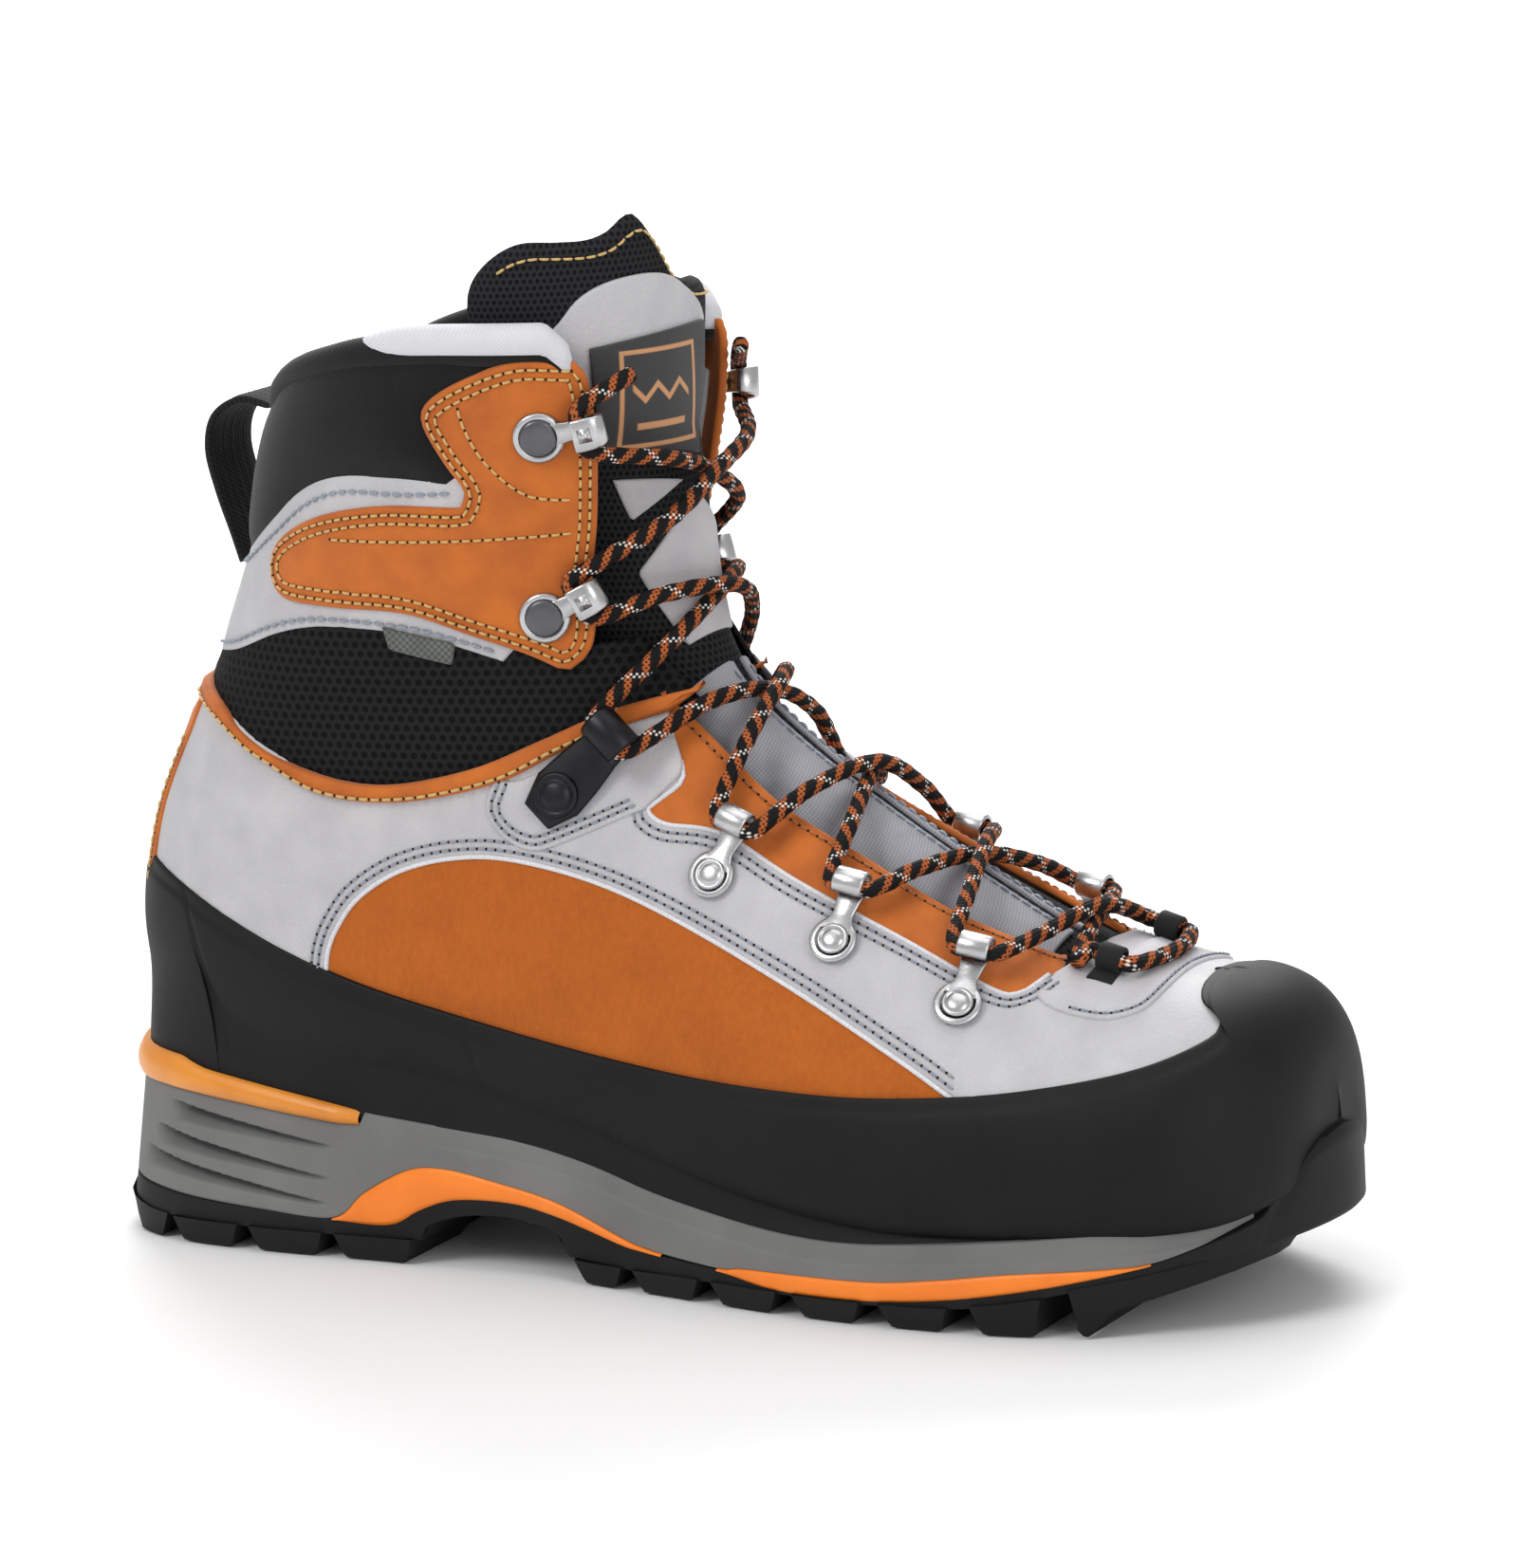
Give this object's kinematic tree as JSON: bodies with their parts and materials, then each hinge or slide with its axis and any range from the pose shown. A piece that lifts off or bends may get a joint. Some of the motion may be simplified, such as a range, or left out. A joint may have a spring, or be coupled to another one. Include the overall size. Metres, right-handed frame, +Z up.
{
  "type": "mountaineering boot",
  "caption": "Right mountaineering boot: lugged sole with heel ledge, rubber rand, suede and synthetic upper, mesh ankle, padded collar, hooks and threaded lace.",
  "frame": {"origin": "on the ground under the middle of the boot's bounding box", "axes": "+X to the toe, +Y to the medial side (the wearer's left on this right boot), +Z up"},
  "size_m": [0.3044, 0.1032, 0.2313],
  "materials": {
    "black_rubber": "moulded lugged rubber",
    "rand_rubber": "matt smooth rubber",
    "grey_midsole": "satin moulded polyurethane",
    "amber_plastic": "satin",
    "orange_plastic": "satin",
    "board": "fibreboard",
    "footbed_foam": "fabric-covered foam",
    "lining_fabric": "knitted lining",
    "orange_suede": "napped suede",
    "orange_nubuck": "fine nubuck, double stitched",
    "grey_synthetic": "grained synthetic leather",
    "grey_binding": "soft edge binding",
    "black_stretch": "smooth stretch fabric over foam",
    "black_mesh": "honeycomb mesh over foam",
    "tongue_fabric": "mesh over foam with synthetic patches",
    "label_fabric": "woven label",
    "black_webbing": "woven webbing",
    "steel": "satin",
    "black_metal": "satin black",
    "lace": "braided, black and rust with pale flecks"
  },
  "bodies": {
    "foot": {"outsole": "black_rubber", "midsole": "grey_midsole", "heel_welt": "amber_plastic", "arch_insert": "orange_plastic", "forefoot_insert": "orange_plastic", "insole_board": "board", "footbed": "footbed_foam", "lining_lateral": "lining_fabric", "lining_medial": "lining_fabric", "rand_toe": "rand_rubber", "rand_heel": "rand_rubber", "rand_lateral": "rand_rubber", "rand_medial": "rand_rubber", "backstay": "orange_nubuck", "flex_panel": "black_mesh", "tongue_lower": "tongue_fabric", "tongue_crease": "tongue_fabric", "quarter_lateral": "orange_suede", "facing_lateral": "orange_nubuck", "ankle_patch_lateral": "grey_synthetic", "topline_lateral": "orange_nubuck", "shell_lateral": "grey_synthetic", "lock_hook_lateral": "black_metal", "toe_loop_lateral": "black_webbing", "eyelet_lateral_1": "steel", "eyelet_lateral_2": "steel", "eyelet_lateral_3": "steel", "quarter_medial": "orange_suede", "facing_medial": "orange_nubuck", "ankle_patch_medial": "grey_synthetic", "topline_medial": "orange_nubuck", "shell_medial": "grey_synthetic", "lock_hook_medial": "black_metal", "toe_loop_medial": "black_webbing", "eyelet_medial_1": "steel", "eyelet_medial_2": "steel", "eyelet_medial_3": "steel", "lace_crossing_low": "lace", "lace_lower": "lace", "lace_crossing_high": "lace"},
    "cuff": {"lining_cuff": "lining_fabric", "cuff_band": "grey_synthetic", "collar_pad": "black_stretch", "collar_binding": "grey_binding", "tongue_upper": "tongue_fabric", "label": "label_fabric", "cuff_leather_lateral": "orange_nubuck", "hook_lower_lateral": "steel", "hook_upper_lateral": "steel", "cuff_leather_medial": "orange_nubuck", "hook_lower_medial": "steel", "hook_upper_medial": "steel", "lace_upper_lateral": "lace", "lace_upper_medial": "lace"},
    "tongue_flap": {"tongue_top": "tongue_fabric"},
    "pull_tab": {"pull_loop": "black_webbing"}
  },
  "joints": [
    {"name": "ankle_flex", "type": "hinge", "parent": "foot", "child": "cuff", "pos_m": [-0.05227, 0.00298, 0.113], "axis": [0, 1, 0], "range_deg": [-5, 10], "stiffness_Nm_per_rad": 6, "deforming": ["flex_panel", "tongue_crease", "lace_crossing_low", "lace_crossing_high"]},
    {"name": "tongue_fold", "type": "hinge", "parent": "cuff", "child": "tongue_flap", "pos_m": [0.00123, 0.00298, 0.2065], "axis": [0, 1, 0], "range_deg": [0, 20], "stiffness_Nm_per_rad": 0.3},
    {"name": "pull_loop_swing", "type": "hinge", "parent": "cuff", "child": "pull_tab", "pos_m": [-0.11237, 0.00298, 0.1735], "axis": [0.2485, 0, 0.9686], "range_deg": [-10, 10], "stiffness_Nm_per_rad": 0.05}
  ]
}
